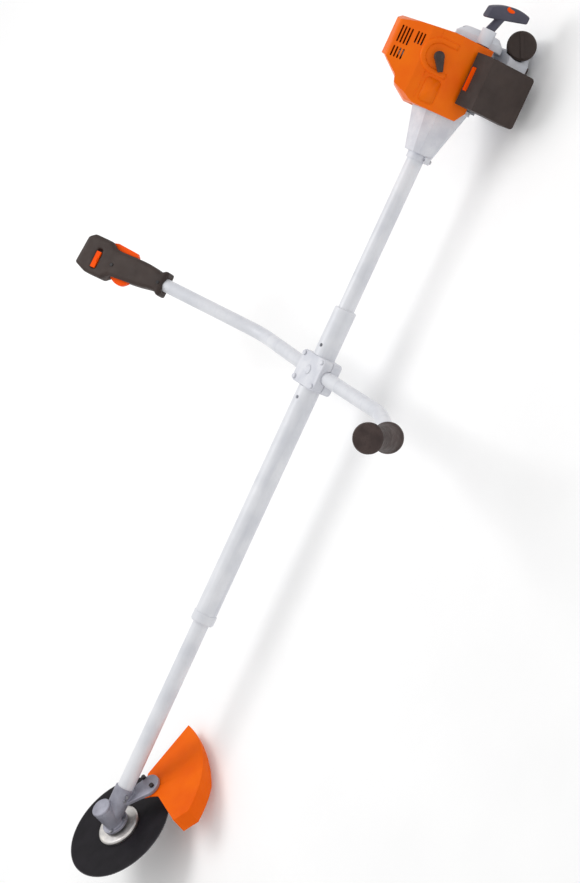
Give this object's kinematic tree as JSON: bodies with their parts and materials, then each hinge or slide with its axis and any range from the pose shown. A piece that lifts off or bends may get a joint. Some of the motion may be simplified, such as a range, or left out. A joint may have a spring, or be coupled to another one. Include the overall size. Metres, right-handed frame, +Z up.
{
  "type": "brush mower",
  "caption": "Hand-held brush mower with a rear engine, long straight drive tube, wide handlebar, angled gearbox, round blade and fan-shaped guard.",
  "frame": {"origin": "centre of the bounding box, at its bottom: the surface the machine lies on", "axes": "+X along the drive tube from the blade to the engine, +Z up, +Y to the operator's right"},
  "size_m": [1.992, 1.2481, 0.4153],
  "materials": {
    "light_grey_paint": "satin powder coat",
    "cast_light_grey": "painted casting",
    "cast_gear_grey": "bead-blasted casting",
    "zinc_steel": "zinc plated",
    "black_steel": "black oxide",
    "silver_plate": "turned",
    "bright_steel": "ground",
    "black_blade": "satin black lacquer",
    "orange_guard": "moulded",
    "orange_shroud": "moulded",
    "orange_control": "moulded",
    "dark_housing": "fine grain",
    "dark_rubber": "matt",
    "slate_grip": "moulded",
    "light_plastic": "moulded",
    "engine_aluminium": "as cast",
    "muffler_steel": "heat tinted",
    "plug_ceramic": "glazed ceramic and rubber boot",
    "pulley_plastic": "moulded",
    "filter_felt": "felt",
    "rope_white": "braided"
  },
  "bodies": {
    "frame": {"carburettor": "engine_aluminium", "clamp_back_half": "cast_light_grey", "clamp_bolts": "cast_light_grey", "clamp_front_half": "cast_light_grey", "clutch_housing_lower": "cast_light_grey", "clutch_housing_upper": "cast_light_grey", "control_handle_back": "dark_housing", "control_handle_front": "dark_housing", "crankcase": "engine_aluminium", "cylinder": "engine_aluminium", "drive_tube": "light_grey_paint", "engine_bearings": "bright_steel", "engine_shroud": "orange_shroud", "filter_base": "dark_housing", "filter_element": "filter_felt", "fuel_tank": "light_plastic", "gear_cap": "cast_gear_grey", "gear_housing": "cast_gear_grey", "gear_screws": "zinc_steel", "guard": "orange_guard", "guard_bolts": "black_steel", "handle_arm_left": "light_grey_paint", "handle_arm_right": "light_grey_paint", "handle_screws": "black_steel", "left_grip": "dark_rubber", "lever_pins": "zinc_steel", "lower_sleeve": "light_grey_paint", "muffler": "muffler_steel", "ring_screw": "zinc_steel", "shaft_bushes": "dark_rubber", "sleeve_end_collar": "light_grey_paint", "spark_plug": "plug_ceramic", "spindle_bearings": "bright_steel", "starter_housing": "light_plastic", "tank_feet": "dark_rubber", "tube_clamp_ring": "cast_light_grey", "upper_sleeve": "light_grey_paint"},
    "drive": {"drive_shaft": "bright_steel", "bevel_pinion": "bright_steel", "clutch_drum": "bright_steel"},
    "cutter": {"crown_gear": "bright_steel", "output_spindle": "bright_steel", "thrust_plate": "silver_plate", "blade": "black_blade", "rider_plate": "zinc_steel", "blade_nut": "zinc_steel"},
    "crank": {"crankshaft": "bright_steel", "flywheel": "engine_aluminium", "clutch_shoes": "bright_steel"},
    "piston": {"piston": "engine_aluminium"},
    "pulley": {"starter_pulley": "pulley_plastic"},
    "starter": {"starter_grip": "slate_grip", "starter_rope": "rope_white"},
    "trigger": {"throttle_trigger": "orange_control"},
    "lock": {"throttle_lock": "orange_control"},
    "switch": {"stop_switch": "orange_control"},
    "choke": {"choke_knob": "dark_rubber"},
    "cover": {"filter_cover": "dark_housing"},
    "latch": {"filter_latch": "orange_control"},
    "cap": {"fuel_cap": "dark_housing"}
  },
  "joints": [
    {"name": "cutter_spin", "type": "hinge", "parent": "frame", "child": "cutter", "pos_m": [-0.86975, -0.04329, 0.13142], "axis": [0.446, 0, 0.895], "continuous": true},
    {"name": "shaft_spin", "type": "hinge", "parent": "frame", "child": "drive", "pos_m": [0.16665, -0.04329, 0.13142], "axis": [1, 0, 0], "continuous": true},
    {"name": "crank_spin", "type": "hinge", "parent": "frame", "child": "crank", "pos_m": [0.82165, -0.04329, 0.13142], "axis": [1, 0, 0], "continuous": true},
    {"name": "piston_stroke", "type": "slide", "parent": "frame", "child": "piston", "axis": [0, 0, 1], "range_m": [0, 0.028]},
    {"name": "starter_pull", "type": "slide", "parent": "frame", "child": "starter", "axis": [1, 0, 0], "range_m": [0, 0.07], "stiffness_N_per_m": 8},
    {"name": "pulley_turn", "type": "hinge", "parent": "frame", "child": "pulley", "pos_m": [0.91065, -0.04329, 0.13142], "axis": [1, 0, 0], "range_deg": [0, 168]},
    {"name": "trigger_pull", "type": "hinge", "parent": "frame", "child": "trigger", "pos_m": [0.14645, 0.50557, 0.32818], "axis": [-0.1175, 0.5473, -0.8286], "range_deg": [0, 14], "stiffness_Nm_per_rad": 0.1},
    {"name": "lock_press", "type": "hinge", "parent": "frame", "child": "lock", "pos_m": [0.19555, 0.56073, 0.35766], "axis": [-0.1175, 0.5473, -0.8286], "range_deg": [0, 6], "stiffness_Nm_per_rad": 0.2},
    {"name": "switch_slide", "type": "slide", "parent": "frame", "child": "switch", "axis": [0.9928, 0.0859, -0.084], "range_m": [0, 0.006]},
    {"name": "choke_turn", "type": "hinge", "parent": "frame", "child": "choke", "pos_m": [0.84365, -0.1006, 0.22188], "axis": [0, -0.9231, 0.3846], "range_deg": [0, 60]},
    {"name": "cover_pull", "type": "slide", "parent": "frame", "child": "cover", "axis": [0, -1, 0], "range_m": [0, 0.045]},
    {"name": "latch_press", "type": "slide", "parent": "cover", "child": "latch", "axis": [0, 0, -1], "range_m": [0, 0.002], "stiffness_N_per_m": 200},
    {"name": "fuel_cap_turn", "type": "hinge", "parent": "frame", "child": "cap", "pos_m": [0.93865, -0.10529, 0.05442], "axis": [0.118, -0.8273, 0.5492], "range_deg": [0, 120]}
  ],
  "couplings": [
    {"joint": "shaft_spin", "follows": "cutter_spin", "ratio": 1.4167},
    {"joint": "pulley_turn", "follows": "starter_pull", "rad_per_m": 41.667}
  ]
}
